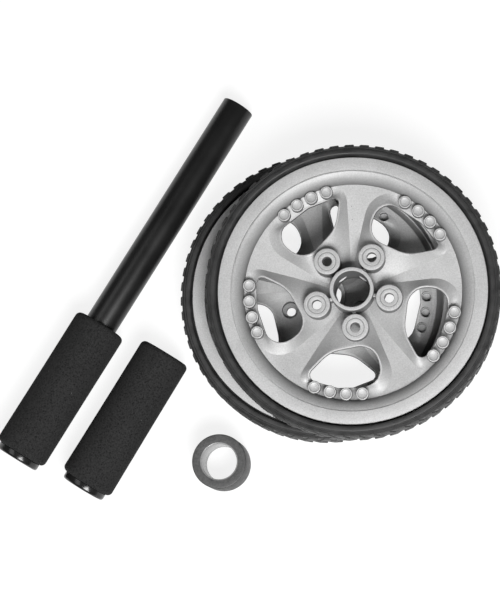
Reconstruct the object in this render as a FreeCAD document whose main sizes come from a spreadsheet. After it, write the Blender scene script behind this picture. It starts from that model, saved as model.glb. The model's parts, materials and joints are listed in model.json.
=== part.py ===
import FreeCAD, Part
import math
import os
import re

import Sketcher
from FreeCAD import Placement, Rotation, Vector

# Driving dimensions in millimetres and degrees: name, value, what it measures

SIZES = (
    ("tyre_diameter", 184.0, "wheel over the tread knobs"),
    ("tyre_width", 28.0, "wheel from back plane to front plane"),
    ("tread_depth", 1.4, "height of a tread knob"),
    ("tread_shoulder", 3.0, "fall of the tyre's shoulder to the tread"),
    ("crest_width", 3.4, "flat band on the sidewall that the wheel lies on"),
    ("crest_slope", 1.4, "run of the lip from the rim's edge to the band"),
    ("sidewall_groove_width", 0.7, "groove outside the band"),
    ("sidewall_groove_depth", 1.0, "groove outside the band"),
    ("knob_width", 6.4, "tread knob around the wheel"),
    ("knob_length", 11.0, "tread knob across the wheel"),
    ("knob_inset", 2.2, "tread knob from the wheel's face"),
    ("tyre_fit", 0.05, "play between tyre and rim"),
    ("tyre_height", 8.0, "tyre from the rim's edge to the top of the knobs"),
    ("rim_width", 25.0, "rim from back ring to front ring"),
    ("rim_ring_width", 8.2, "flat front ring of the rim"),
    ("rim_wall", 6.0, "rim under the tyre's seat"),
    ("seat_depth", 2.0, "channel that holds the tyre's foot"),
    ("seat_flange", 2.5, "rim edge beside the channel"),
    ("ring_line_width", 0.6, "groove inside the flat ring"),
    ("ring_line_depth", 0.9, "groove inside the flat ring"),
    ("ring_step", 0.4, "flat ring down to the top of the shoulder"),
    ("shoulder_radius", 7.2, "round shoulder from the ring to the spokes"),
    ("spoke_fall", 6.0, "spokes from the shoulder down to the hub"),
    ("disc_wall", 3.2, "moulded wall of spokes and rises"),
    ("rise_margin", 0.1, "outer side of a window's rise inside the shoulder's foot"),
    ("rise_flare", 2.0, "foot of a rise outside its outline"),
    ("rise_sink", 0.8, "foot of a rise below the spokes"),
    ("window_rise", 0.6, "window's lip above the shoulder's foot"),
    ("window_margin", 6.9, "window's outer side inside its rise's"),
    ("window_lip", 0.9, "flat lip round a window"),
    ("hub_bore", 22.5, "bore of the hub tube"),
    ("hub_wall", 2.5, "wall of the hub tube"),
    ("boss_set_out", 9.95, "screw boss outside the hub tube"),
    ("boss_diameter", 16.8, "screw boss"),
    ("boss_set_back", 3.0, "boss top below the wheel's front plane"),
    ("boss_hole", 6.0, "hole through a boss"),
    ("boss_counterbore", 10.8, "pocket in a boss from behind"),
    ("boss_cap", 5.5, "boss top above its pocket"),
    ("boss_dish", 0.6, "sunk ring on a boss top"),
    ("rib_thickness", 2.0, "rib from the hub to a boss"),
    ("rib_set_back", 3.5, "rib below the boss top"),
    ("peg_set_in", 3.2, "peg inside the shoulder's foot"),
    ("peg_diameter", 8.0, "peg beside a window"),
    ("peg_set_back", 4.0, "peg top below the rim's front ring"),
    ("peg_core", 5.6, "core in a peg from behind"),
    ("peg_cap", 2.5, "peg top above its core"),
    ("peg_chamfer", 0.6, "edge of a peg or boss top"),
    ("rod_diameter", 21.3, "rod tube outside"),
    ("rod_wall", 1.5, "rod tube wall"),
    ("rod_length", 267.0, "rod tube"),
    ("rod_chamfer", 0.5, "edge of the rod's ends"),
    ("foam_diameter", 34.8, "grip foam outside"),
    ("foam_length", 97.6, "grip foam"),
    ("foam_rounding", 3.3, "edge of the grip foam"),
    ("core_diameter", 25.6, "sleeve inside the foam"),
    ("core_set_in", 1.5, "sleeve end inside the foam's mouth"),
    ("flange_diameter", 29.2, "closed end of the sleeve"),
    ("flange_thickness", 4.5, "closed end of the sleeve"),
    ("flange_rounding", 1.6, "edge of the closed end"),
    ("end_wall", 3.5, "closed end outside the sleeve's bore"),
    ("foam_fit", 0.05, "play between foam and sleeve"),
    ("rod_fit", 0.05, "play between rod and sleeve"),
    ("rod_end_play", 0.5, "rod's end to the sleeve's end wall"),
    ("spacer_diameter", 34.5, "spacer ring outside"),
    ("spacer_bore", 22.4, "spacer ring bore"),
    ("spacer_height", 28.0, "spacer ring"),
    ("spacer_chamfer", 0.8, "edges of the spacer ring"),
    ("spacer_line_drop", 2.4, "line on the spacer below its top"),
    ("spacer_line_width", 0.8, "line on the spacer"),
    ("spacer_line_depth", 0.6, "line on the spacer"),
    ("stack_gap", 0.3, "between the two wheels"),
    ("stack_shift_x", 19.4, "upper wheel beside the lower one"),
    ("stack_shift_y", -0.8, "upper wheel beside the lower one"),
    ("rod_gap", 12.8, "rod beside the lower wheel"),
    ("rod_tip_reach", 79.9, "rod's free end past the wheel's axis"),
    ("grip_gap", 11.3, "loose grip beside the grip on the rod"),
    ("loose_grip_gap", 5.7, "loose grip's end beside the lower wheel"),
    ("spacer_gap", 15.2, "spacer beside the lower wheel"),
    ("rod_angle", 58.9, "rod's direction on the floor"),
    ("spacer_angle", 238.1, "spacer's direction from the lower wheel"),
    ("upper_turn", -13.0, "upper wheel about its axis"),
    ("lower_turn", -17.0, "lower wheel about its axis"),
    ("peg_group_turn", -12.9, "middle of a row of pegs from its boss"),
    ("peg_spacing", 8.95, "angle between pegs"),
    ("cut_overrun", 5.0, "how far a cut runs past the solid"),
)

# Sizes that follow from the driving ones

DERIVED = {
    "tread_radius": "tyre_diameter / 2 - tread_depth",
    "rim_radius": "tyre_diameter / 2 - tyre_height",
    "seat_radius": "rim_radius - seat_depth",
    "barrel_radius": "seat_radius - rim_wall",
    "crest_inner": "rim_radius + crest_slope",
    "crest_outer": "crest_inner + crest_width",
    "groove_outer": "crest_outer + sidewall_groove_width",
    "ring_radius": "rim_radius - rim_ring_width",
    "shoulder_top": "ring_radius - ring_line_width",
    "shoulder_foot": "shoulder_top - shoulder_radius",
    "spoke_level": "rim_width - ring_step - shoulder_radius",
    "spoke_hub_level": "spoke_level - spoke_fall",
    "spoke_back": "spoke_level - disc_wall",
    "hub_back": "spoke_hub_level - disc_wall",
    "rise_reach": "shoulder_foot - rise_margin",
    "window_level": "spoke_level + window_rise",
    "window_reach": "rise_reach - window_margin",
    "hub_radius": "hub_bore / 2 + hub_wall",
    "hub_middle": "hub_radius - hub_wall / 2",
    "spoke_slope": "spoke_fall / (shoulder_foot - hub_middle)",
    "boss_pitch": "hub_radius + boss_set_out",
    "peg_pitch": "shoulder_foot - peg_set_in",
    "boss_top": "tyre_width - boss_set_back",
    "peg_top": "rim_width - peg_set_back",
    "rise_axis_level": "spoke_level - rise_sink - shoulder_foot * spoke_slope",
    "sleeve_bore": "rod_diameter + 2 * rod_fit",
    "sleeve_end": "foam_length + flange_thickness",
    "bore_end": "sleeve_end - end_wall",
    "rod_depth": "bore_end - rod_end_play",
    "rod_free_length": "rod_length - rod_depth",
}

# Counts

WINDOW_COUNT = 5
PEGS_PER_WINDOW = 4
KNOB_COUNT = 60

# Rounded corners of a window and its rise: centre across, centre along and radius, as shares of the reach,
# with the boss on the first axis

WINDOW_SHARES = (
    (0.764, 0.014, 0.188),
    (0.946, -0.142, 0.353),
    (0.825, -0.447, 0.062),
    (0.914, -0.224, 0.057),
    (0.813, 0.037, 0.174),
)
RISE_SHARES = (
    (0.329, -0.022, 0.152),
    (0.552, -0.208, 0.146),
    (0.775, -0.395, 0.131),
    (0.798, -0.183, 0.181),
    (0.760, 0.051, 0.215),
)
KNOB_ROOT_SHARE = 0.5

doc = FreeCAD.newDocument("ab_wheel_roller")
sheet = doc.addObject("Spreadsheet::Sheet", "Sizes")
for row, (name, number, meaning) in enumerate(SIZES, start=1):
    sheet.set(f"A{row}", name)
    sheet.set(f"B{row}", str(number))
    sheet.set(f"C{row}", meaning)
    sheet.setAlias(f"B{row}", name)
doc.recompute()

DRIVING = {name for name, number, meaning in SIZES}


def bind(text):
    """The formula in words as an expression on the sheet's cells."""

    def cell(found):
        word = found.group(0)
        if word in DERIVED:
            return f"({bind(DERIVED[word])})"
        return f"Sizes.{word}" if word in DRIVING else word

    return re.sub(r"[a-z][a-z_]*", cell, text)


def value(text):
    """What the formula in words comes to."""
    return float(sheet.evalExpression(bind(text)))


# Sketches and features


def new_body(node):
    body = doc.addObject("PartDesign::Body", node)
    body.Label = node
    return body


def origin_feature(body, role):
    return next(item for item in body.Origin.OriginFeatures if item.Role == role)


def new_sketch(body, name, role, across="0", up="0", out="0"):
    """A sketch on one of the body's planes, its origin moved across, up and out of that plane."""
    sketch = body.newObject("Sketcher::SketchObject", name)
    sketch.AttachmentSupport = (origin_feature(body, role), [""])
    sketch.MapMode = "FlatFace"
    for axis, offset in zip("xyz", (across, up, out)):
        if offset != "0":
            sketch.setExpression(f"AttachmentOffset.Base.{axis}", bind(offset))
    return sketch


def section_sketch(body, name, x="0", y="0"):
    """An upright sketch through a vertical axis at x, y, for a turned feature."""
    return new_sketch(body, name, "XZ_Plane", across=x, out="0" if y == "0" else f"-({y})")


def level_sketch(body, name, height):
    return new_sketch(body, name, "XY_Plane", out=height)


def tilt_sketch(sketch, slope):
    """Raises a level sketch outwards by the slope, along its first axis."""
    sketch.AttachmentOffset = Placement(sketch.AttachmentOffset.Base, Rotation(Vector(0, -1, 0), 1))
    sketch.setExpression("AttachmentOffset.Rotation.Angle", bind(f"atan({slope})"))


def pin_point(sketch, geometry, end, x, y):
    """Holds one point of the sketch at the formulas x and y."""
    for kind, formula, axis in (("DistanceX", x, -2), ("DistanceY", y, -1)):
        if formula == "0":
            sketch.addConstraint(Sketcher.Constraint("PointOnObject", geometry, end, axis))
            continue
        index = sketch.addConstraint(Sketcher.Constraint(kind, -1, 1, geometry, end, value(formula)))
        sketch.setExpression(f"Constraints[{index}]", bind(formula))


def hold_radius(sketch, geometry, formula):
    index = sketch.addConstraint(Sketcher.Constraint("Radius", geometry, value(formula)))
    sketch.setExpression(f"Constraints[{index}]", bind(formula))


def arc_between(start, end, radius):
    """The arc under a half circle from start to end that turns left, as a sketch wants it."""
    chord = end - start
    middle = (start + end) * 0.5
    left = Vector(-chord.y, chord.x, 0).normalize()
    centre = middle + left * math.sqrt(max(radius**2 - (chord.Length / 2) ** 2, 0))
    angles = [math.atan2(point.y - centre.y, point.x - centre.x) for point in (start, end)]
    return Part.ArcOfCircle(Part.Circle(centre, Vector(0, 0, 1), radius), *angles)


def draw_outline(sketch, corners):
    """A closed outline, counterclockwise. A corner is x, y and, where a round stretch follows it, the radius."""
    points = [Vector(value(corner[0]), value(corner[1]), 0) for corner in corners]
    for index, corner in enumerate(corners):
        start, end = points[index], points[(index + 1) % len(points)]
        if len(corner) == 3:
            sketch.addGeometry(arc_between(start, end, value(corner[2])), False)
        else:
            sketch.addGeometry(Part.LineSegment(start, end), False)
    for index, corner in enumerate(corners):
        following = (index + 1) % len(corners)
        sketch.addConstraint(Sketcher.Constraint("Coincident", index, 2, following, 1))
        pin_point(sketch, index, 1, corner[0], corner[1])
        if len(corner) == 3:
            hold_radius(sketch, index, corner[2])


def draw_rounded(sketch, reach, shares, thicker="0"):
    """A closed outline around circles in counterclockwise order, each given in shares of the reach."""
    circles = [
        (f"{reach} * ({x})", f"{reach} * ({y})", f"{reach} * {radius} + {thicker}") for x, y, radius in shares
    ]
    centres = [Vector(value(x), value(y), 0) for x, y, radius in circles]
    radii = [value(radius) for x, y, radius in circles]
    count = len(circles)
    normals = []
    for index in range(count):
        step = centres[(index + 1) % count] - centres[index]
        lean = (radii[index] - radii[(index + 1) % count]) / step.Length
        along = step.normalize()
        normals.append(along * lean + Vector(along.y, -along.x, 0) * math.sqrt(1 - lean**2))
    for index, (centre, radius) in enumerate(zip(centres, radii)):
        angles = [math.atan2(normal.y, normal.x) for normal in (normals[index - 1], normals[index])]
        sketch.addGeometry(Part.ArcOfCircle(Part.Circle(centre, Vector(0, 0, 1), radius), *angles), False)
    for index in range(count):
        following = (index + 1) % count
        start = centres[index] + normals[index] * radii[index]
        end = centres[following] + normals[index] * radii[following]
        line = sketch.addGeometry(Part.LineSegment(start, end), False)
        sketch.addConstraint(Sketcher.Constraint("Tangent", index, 2, line, 1))
        sketch.addConstraint(Sketcher.Constraint("Tangent", line, 2, following, 1))
    for index, (x, y, radius) in enumerate(circles):
        pin_point(sketch, index, 3, x, y)
        hold_radius(sketch, index, radius)


def turned(body, name, kind, sketch, angle=360.0):
    feature = body.newObject(f"PartDesign::{kind}", name)
    feature.Refine = False
    feature.Profile = sketch
    feature.ReferenceAxis = (sketch, ["V_Axis"])
    feature.Angle = angle
    return feature


def padded(body, name, sketch, length):
    feature = body.newObject("PartDesign::Pad", name)
    feature.Refine = False
    feature.Profile = sketch
    feature.setExpression("Length", bind(length))
    return feature


def repeated(body, name, features, count):
    """The features copied round the body's upright axis."""
    pattern = body.newObject("PartDesign::PolarPattern", name)
    pattern.Refine = False
    pattern.Originals = features
    pattern.Axis = (origin_feature(body, "Z_Axis"), [""])
    pattern.Angle = 360.0
    pattern.Occurrences = count
    body.Tip = pattern
    return pattern


def cloned(node, original):
    """Another body with the same shape."""
    body = new_body(node)
    base = doc.addObject("PartDesign::FeatureBase", f"{node}_shape")
    base.BaseFeature = original
    body.Group = [base]
    body.Tip = base
    return body


# Wheel: one grey moulding with the rim, the spokes, five windows in rises, bosses, pegs and the hub


def rise_foot(body, name, drop):
    """The foot of a window's rise, along the spokes, lowered by the drop."""
    foot = level_sketch(body, name, f"rise_axis_level - {drop}")
    tilt_sketch(foot, "spoke_slope")
    draw_rounded(foot, "rise_reach", RISE_SHARES, thicker="rise_flare")
    return foot


def rise_lip(body, name, drop):
    """The lip at the top of a window's rise, lowered by the drop."""
    lip = level_sketch(body, name, f"window_level - {drop}")
    draw_rounded(lip, "window_reach", WINDOW_SHARES, thicker="window_lip")
    return lip


def lofted(body, name, kind, sketches):
    feature = body.newObject(f"PartDesign::{kind}", name)
    feature.Refine = False
    feature.Profile = sketches[0]
    feature.Sections = sketches[1:]
    feature.Ruled = True
    return feature


def wheel_moulding(node):
    body = new_body(node)
    section = section_sketch(body, f"{node}_section")
    draw_outline(
        section,
        (
            ("hub_middle", "hub_back"),
            ("shoulder_foot", "spoke_back"),
            ("shoulder_foot + disc_wall", "spoke_back"),
            ("barrel_radius", "rim_width - disc_wall"),
            ("barrel_radius", "0"),
            ("rim_radius", "0"),
            ("rim_radius", "seat_flange"),
            ("seat_radius", "seat_flange"),
            ("seat_radius", "rim_width - seat_flange"),
            ("rim_radius", "rim_width - seat_flange"),
            ("rim_radius", "rim_width"),
            ("ring_radius", "rim_width"),
            ("ring_radius", "rim_width - ring_line_depth"),
            ("shoulder_top", "rim_width - ring_line_depth"),
            ("shoulder_top", "rim_width - ring_step", "shoulder_radius"),
            ("shoulder_foot", "spoke_level"),
            ("hub_middle", "spoke_hub_level"),
        ),
    )
    turned(body, f"{node}_turned", "Revolution", section)
    doc.recompute()

    foot = rise_foot(body, f"{node}_rise_foot", "0")
    lip = rise_lip(body, f"{node}_rise_lip", "0")
    rise = lofted(body, f"{node}_rise", "AdditiveLoft", [foot, lip])
    repeated(body, f"{node}_rises", [rise], WINDOW_COUNT)
    doc.recompute()

    rib_plan = level_sketch(body, f"{node}_rib_plan", "hub_back")
    draw_outline(
        rib_plan,
        (
            ("hub_middle", "-rib_thickness / 2"),
            ("boss_pitch", "-rib_thickness / 2"),
            ("boss_pitch", "rib_thickness / 2"),
            ("hub_middle", "rib_thickness / 2"),
        ),
    )
    rib = padded(body, f"{node}_rib", rib_plan, "boss_top - rib_set_back - hub_back")

    boss_section = section_sketch(body, f"{node}_boss_section", x="boss_pitch")
    draw_outline(
        boss_section,
        (
            ("0", "hub_back"),
            ("boss_diameter / 2", "hub_back"),
            ("boss_diameter / 2", "boss_top - peg_chamfer"),
            ("boss_diameter / 2 - peg_chamfer", "boss_top"),
            ("boss_counterbore / 2", "boss_top"),
            ("boss_counterbore / 2", "boss_top - boss_dish"),
            ("0", "boss_top - boss_dish"),
        ),
    )
    boss = turned(body, f"{node}_boss", "Revolution", boss_section)
    repeated(body, f"{node}_bosses", [rib, boss], WINDOW_COUNT)
    doc.recompute()

    clearing = rise_foot(body, f"{node}_clearing", "(disc_wall + cut_overrun)")
    back_foot = rise_foot(body, f"{node}_back_foot", "disc_wall")
    back_lip = rise_lip(body, f"{node}_back_lip", "disc_wall")
    hollow = lofted(body, f"{node}_hollow", "SubtractiveLoft", [clearing, back_foot, back_lip])
    outline = level_sketch(body, f"{node}_window_outline", "window_level")
    draw_rounded(outline, "window_reach", WINDOW_SHARES)
    window = body.newObject("PartDesign::Pocket", f"{node}_window")
    window.Refine = False
    window.Profile = outline
    window.setExpression("Length", bind("disc_wall + cut_overrun"))
    hole_section = section_sketch(body, f"{node}_hole_section", x="boss_pitch")
    draw_outline(
        hole_section,
        (
            ("0", "hub_back - cut_overrun"),
            ("boss_counterbore / 2", "hub_back - cut_overrun"),
            ("boss_counterbore / 2", "boss_top - boss_cap"),
            ("boss_hole / 2", "boss_top - boss_cap"),
            ("boss_hole / 2", "boss_top + cut_overrun"),
            ("0", "boss_top + cut_overrun"),
        ),
    )
    hole = turned(body, f"{node}_hole", "Groove", hole_section)
    repeated(body, f"{node}_windows", [hollow, window, hole], WINDOW_COUNT)
    doc.recompute()
    for number in range(PEGS_PER_WINDOW):
        steps = number - (PEGS_PER_WINDOW - 1) / 2
        turn = f"(peg_group_turn + {steps} * peg_spacing)"
        place = {"x": f"peg_pitch * cos({turn} * 1 deg)", "y": f"peg_pitch * sin({turn} * 1 deg)"}
        peg_section = section_sketch(body, f"{node}_peg_section_{number + 1}", **place)
        draw_outline(
            peg_section,
            (
                ("0", "spoke_level - disc_wall / 2"),
                ("peg_diameter / 2", "spoke_level - disc_wall / 2"),
                ("peg_diameter / 2", "peg_top - peg_chamfer"),
                ("peg_diameter / 2 - peg_chamfer", "peg_top"),
                ("0", "peg_top - peg_chamfer"),
            ),
        )
        core_section = section_sketch(body, f"{node}_peg_core_section_{number + 1}", **place)
        draw_outline(
            core_section,
            (
                ("0", "spoke_back - cut_overrun"),
                ("peg_core / 2", "spoke_back - cut_overrun"),
                ("peg_core / 2", "peg_top - peg_cap"),
                ("0", "peg_top - peg_cap"),
            ),
        )
        peg = turned(body, f"{node}_peg_{number + 1}", "Revolution", peg_section)
        core = turned(body, f"{node}_peg_core_{number + 1}", "Groove", core_section)
        repeated(body, f"{node}_pegs_{number + 1}", [peg, core], WINDOW_COUNT)
        doc.recompute()

    hub_section = section_sketch(body, f"{node}_hub_section")
    draw_outline(
        hub_section,
        (
            ("hub_bore / 2", "0"),
            ("hub_radius", "0"),
            ("hub_radius", "tyre_width"),
            ("hub_bore / 2", "tyre_width"),
        ),
    )
    turned(body, f"{node}_hub", "Revolution", hub_section)
    bore_section = section_sketch(body, f"{node}_bore_section")
    draw_outline(
        bore_section,
        (
            ("0", "-cut_overrun"),
            ("hub_bore / 2", "-cut_overrun"),
            ("hub_bore / 2", "tyre_width + cut_overrun"),
            ("0", "tyre_width + cut_overrun"),
        ),
    )
    turned(body, f"{node}_bore", "Groove", bore_section)
    return body


# Tyre: a rubber ring with a foot in the rim's channel and two rows of staggered tread knobs


def wheel_tyre(node):
    body = new_body(node)
    section = section_sketch(body, f"{node}_section")
    foot_radius = "seat_radius + tyre_fit"
    seat_edge = "rim_radius + tyre_fit"
    back_edge = "seat_flange + tyre_fit"
    front_edge = "rim_width - seat_flange - tyre_fit"
    draw_outline(
        section,
        (
            (foot_radius, back_edge),
            (seat_edge, back_edge),
            ("crest_inner", "0"),
            ("crest_outer", "0"),
            ("crest_outer", "sidewall_groove_depth"),
            ("groove_outer", "sidewall_groove_depth"),
            ("tread_radius", "tread_shoulder"),
            ("tread_radius", "tyre_width - tread_shoulder"),
            ("groove_outer", "tyre_width - sidewall_groove_depth"),
            ("crest_outer", "tyre_width - sidewall_groove_depth"),
            ("crest_outer", "tyre_width"),
            ("crest_inner", "tyre_width"),
            (seat_edge, front_edge),
            (foot_radius, front_edge),
        ),
    )
    turned(body, f"{node}_ring", "Revolution", section)
    doc.recompute()
    half_step = 360.0 / KNOB_COUNT / 2
    rows = (("back", "knob_inset", 0.0), ("front", "tyre_width - knob_inset - knob_length", half_step))
    for row, start, turn in rows:
        knob_section = section_sketch(body, f"{node}_{row}_knob_section")
        knob_section.AttachmentOffset = Placement(Vector(), Rotation(Vector(0, 1, 0), turn))
        root = f"tread_radius - tread_depth * {KNOB_ROOT_SHARE}"
        draw_outline(
            knob_section,
            (
                (root, start),
                ("tyre_diameter / 2", start),
                ("tyre_diameter / 2", f"{start} + knob_length"),
                (root, f"{start} + knob_length"),
            ),
        )
        knob = padded(body, f"{node}_{row}_knob", knob_section, "knob_width")
        knob.Midplane = True
        repeated(body, f"{node}_{row}_knobs", [knob], KNOB_COUNT)
    return body


# Rod and grips: a painted tube, and on each grip a foam sleeve over a plastic sleeve with a closed end


def rod_tube(node):
    body = new_body(node)
    section = section_sketch(body, f"{node}_section")
    inner, outer = "rod_diameter / 2 - rod_wall", "rod_diameter / 2"
    draw_outline(
        section,
        (
            (inner, "0"),
            (f"{outer} - rod_chamfer", "0"),
            (outer, "rod_chamfer"),
            (outer, "rod_length - rod_chamfer"),
            (f"{outer} - rod_chamfer", "rod_length"),
            (inner, "rod_length"),
        ),
    )
    turned(body, f"{node}_turned", "Revolution", section)
    return body


def grip_foam(node):
    body = new_body(node)
    section = section_sketch(body, f"{node}_section")
    inner, outer = "core_diameter / 2 + foam_fit", "foam_diameter / 2"
    draw_outline(
        section,
        (
            (inner, "0"),
            (f"{outer} - foam_rounding", "0", "foam_rounding"),
            (outer, "foam_rounding"),
            (outer, "foam_length - foam_rounding", "foam_rounding"),
            (f"{outer} - foam_rounding", "foam_length"),
            (inner, "foam_length"),
        ),
    )
    turned(body, f"{node}_turned", "Revolution", section)
    return body


def grip_sleeve(node):
    body = new_body(node)
    section = section_sketch(body, f"{node}_section")
    bore, flange = "sleeve_bore / 2", "flange_diameter / 2"
    draw_outline(
        section,
        (
            (bore, "core_set_in"),
            ("core_diameter / 2", "core_set_in"),
            ("core_diameter / 2", "foam_length + foam_fit"),
            (flange, "foam_length + foam_fit"),
            (flange, "sleeve_end - flange_rounding", "flange_rounding"),
            (f"{flange} - flange_rounding", "sleeve_end"),
            ("0", "sleeve_end"),
            ("0", "bore_end"),
            (bore, "bore_end"),
        ),
    )
    turned(body, f"{node}_turned", "Revolution", section)
    return body


# Spacer: a plastic ring that keeps the wheels apart on the rod


def spacer_ring(node):
    body = new_body(node)
    section = section_sketch(body, f"{node}_section")
    bore, outer = "spacer_bore / 2", "spacer_diameter / 2"
    line_top = "spacer_height - spacer_line_drop"
    line_foot = f"{line_top} - spacer_line_width"
    draw_outline(
        section,
        (
            (f"{bore} + spacer_chamfer", "0"),
            (f"{outer} - spacer_chamfer", "0"),
            (outer, "spacer_chamfer"),
            (outer, line_foot),
            (f"{outer} - spacer_line_depth", line_foot),
            (f"{outer} - spacer_line_depth", line_top),
            (outer, line_top),
            (outer, "spacer_height - spacer_chamfer"),
            (f"{outer} - spacer_chamfer", "spacer_height"),
            (f"{bore} + spacer_chamfer", "spacer_height"),
            (bore, "spacer_height - spacer_chamfer"),
            (bore, "spacer_chamfer"),
        ),
    )
    turned(body, f"{node}_turned", "Revolution", section)
    return body


# Layout: the pieces lie apart on the floor, with the origin under the lower wheel's hub

UP = Vector(0, 0, 1)


def upper_wheel_place():
    spot = Vector(value("stack_shift_x"), value("stack_shift_y"), value("tyre_width + stack_gap"))
    return Placement(spot, Rotation(UP, value("upper_turn")))


def lower_wheel_place():
    face_down = Rotation(Vector(1, 0, 0), 180)
    return Placement(Vector(0, 0, value("tyre_width")), Rotation(UP, value("lower_turn")) * face_down)


def floor_directions():
    """Along the rod towards its free end, and across it towards the wheels."""
    along = Rotation(UP, value("rod_angle")).multVec(Vector(1, 0, 0))
    return along, along.cross(UP)


def rod_line():
    return value("tyre_diameter / 2 + rod_gap + rod_diameter / 2")


def rod_place():
    """The rod lies on its free end's edge and on the grip's inner edge, so its other end is raised."""
    along, across = floor_directions()
    rise = value("(foam_diameter - rod_diameter) / 2") / value("rod_free_length + foam_rounding")
    tilt = math.atan(rise)
    axis = UP * math.sin(tilt) - along * math.cos(tilt)
    tip = along * value("rod_tip_reach") - across * rod_line() + UP * value("rod_diameter / 2") * math.cos(tilt)
    return Placement(tip, Rotation(UP, axis))


def rod_grip_place():
    rod = rod_place()
    return Placement(rod.multVec(UP * value("rod_free_length")), rod.Rotation)


def loose_grip_place():
    along, across = floor_directions()
    line = rod_line() - value("foam_diameter + grip_gap")
    corner = line - value("foam_diameter / 2")
    back = math.sqrt(value("tyre_diameter / 2 + loose_grip_gap") ** 2 - corner**2)
    mouth = UP * value("foam_diameter / 2") - along * back - across * line
    return Placement(mouth, Rotation(UP, -along))


def spacer_place():
    distance = value("tyre_diameter / 2 + spacer_gap + spacer_diameter / 2")
    return Placement(Rotation(UP, value("spacer_angle")).multVec(Vector(distance, 0, 0)), Rotation())


# The pieces, each in its place

upper_moulding = wheel_moulding("upper_wheel_moulding")
upper_tyre = wheel_tyre("upper_tyre")
rod_foam = grip_foam("rod_grip_foam")
rod_sleeve = grip_sleeve("rod_grip_sleeve")
doc.recompute()
PIECES = (
    (upper_moulding, upper_wheel_place()),
    (upper_tyre, upper_wheel_place()),
    (cloned("lower_wheel_moulding", upper_moulding), lower_wheel_place()),
    (cloned("lower_tyre", upper_tyre), lower_wheel_place()),
    (rod_tube("rod_tube"), rod_place()),
    (rod_foam, rod_grip_place()),
    (rod_sleeve, rod_grip_place()),
    (cloned("loose_grip_foam", rod_foam), loose_grip_place()),
    (cloned("loose_grip_sleeve", rod_sleeve), loose_grip_place()),
    (spacer_ring("spacer_ring"), spacer_place()),
)
doc.recompute()
for body, place in PIECES:
    body.Placement = place
doc.recompute()

# Every piece is sound before any is written

faults = [item.Name for item in doc.Objects if {"Invalid", "Error"} & set(item.State)]
faults += [body.Label for body, place in PIECES if body.Shape.isNull() or not body.Shape.isValid()]
if faults:
    raise RuntimeError(f"unsound: {', '.join(faults)}")
os.makedirs("parts", exist_ok=True)
for body, place in PIECES:
    body.Shape.exportStep(os.path.join("parts", f"{body.Label}.step"))
    box = body.Shape.BoundBox
    print(body.Label, len(body.Shape.Solids), "solid", round(body.Shape.Volume), "mm3, floor", round(box.ZMin, 2))
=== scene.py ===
"""Looks of an ab wheel roller that lies taken apart on a pale floor."""

import json
import logging
import math
from collections.abc import Sequence
from dataclasses import dataclass
from enum import Enum

import bmesh
import bpy
import numpy as np
from bmesh.types import BMEdge, BMesh, BMVert
from bpy.types import Material, Node, NodeSocket, Object, World
from mathutils import Matrix, Vector


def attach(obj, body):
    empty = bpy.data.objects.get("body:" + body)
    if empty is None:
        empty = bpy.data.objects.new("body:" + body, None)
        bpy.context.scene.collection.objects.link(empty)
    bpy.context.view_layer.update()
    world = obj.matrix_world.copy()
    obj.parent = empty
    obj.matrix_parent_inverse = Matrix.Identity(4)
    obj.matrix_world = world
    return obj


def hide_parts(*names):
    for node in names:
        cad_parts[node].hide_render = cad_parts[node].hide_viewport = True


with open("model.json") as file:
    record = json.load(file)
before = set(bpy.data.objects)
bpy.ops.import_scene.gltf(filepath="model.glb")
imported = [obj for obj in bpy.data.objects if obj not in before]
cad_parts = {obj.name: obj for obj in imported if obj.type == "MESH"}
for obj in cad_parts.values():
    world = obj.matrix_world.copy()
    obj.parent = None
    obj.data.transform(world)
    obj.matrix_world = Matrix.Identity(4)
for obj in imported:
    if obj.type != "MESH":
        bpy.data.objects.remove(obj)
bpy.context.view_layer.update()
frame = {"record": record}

log = logging.getLogger("ab_wheel_roller")

MM = 0.001
FULL_TURN = 2 * math.pi
UP = Vector((0, 0, 1))
ABOUT_UP = {"cent": (0, 0, 0), "axis": UP}
WHITE = (1.0, 1.0, 1.0, 1.0)

# Lengths in millimetres: taken as none, merged in a new mesh, merged after a cut.
TINY = 1e-6
MERGED = 0.0005
MERGED_AFTER_CUT = 0.002

# The numbers between which most of a cloudy variation lies.
CLOUDS = (0.3, 0.7)

# How far each wheel is turned about its axis, in degrees.
LOWER_TURN = -17.0
UPPER_TURN = -13.0

Corner = tuple[float, ...]
Span = tuple[float, float]


class Edges(Enum):
    """The widest angle, in degrees, that still reads as a rounded surface."""

    MOULDED = 32.0
    TURNED = 28.0
    SOFT = 80.0


class Facets(Enum):
    """Facets of a full turn, by what is turned."""

    DISC = 360
    TYRE = 240
    FOAM = 160
    TUBE = 96
    BOSS = 48
    PEG = 32


class Ray(Enum):
    """Kinds of light ray, as the light path node names them."""

    CAMERA = "Is Camera Ray"
    GLOSSY = "Is Glossy Ray"
    CLEAR = "Is Transmission Ray"


# Shaping


def rounded_section(corners: Sequence[Corner], segments: int = 4) -> list[Vector]:
    """Rounds the corners of a section.

    Args:
        corners: radius and height of each in millimetres, and its rounding where it has one.
        segments: straight runs that make up one rounding.

    Returns:
        The section's points in order, radius as x and height as y.
    """
    points = [Vector(corner[:2]) for corner in corners]
    section: list[Vector] = []
    for index, corner in enumerate(corners):
        here = points[index]
        if len(corner) < 3:
            section.append(here)
            continue
        back = (points[index - 1] - here).normalized()
        ahead = (points[(index + 1) % len(points)] - here).normalized()
        half = back.angle(ahead) / 2
        centre = here + (back + ahead).normalized() * corner[2] / math.sin(half)
        start = here + back * corner[2] / math.tan(half) - centre
        end = here + ahead * corner[2] / math.tan(half) - centre
        for step in range(segments + 1):
            spoke = start.slerp(end, step / segments)
            section.append(centre + spoke.normalized() * corner[2])
    return section


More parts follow.
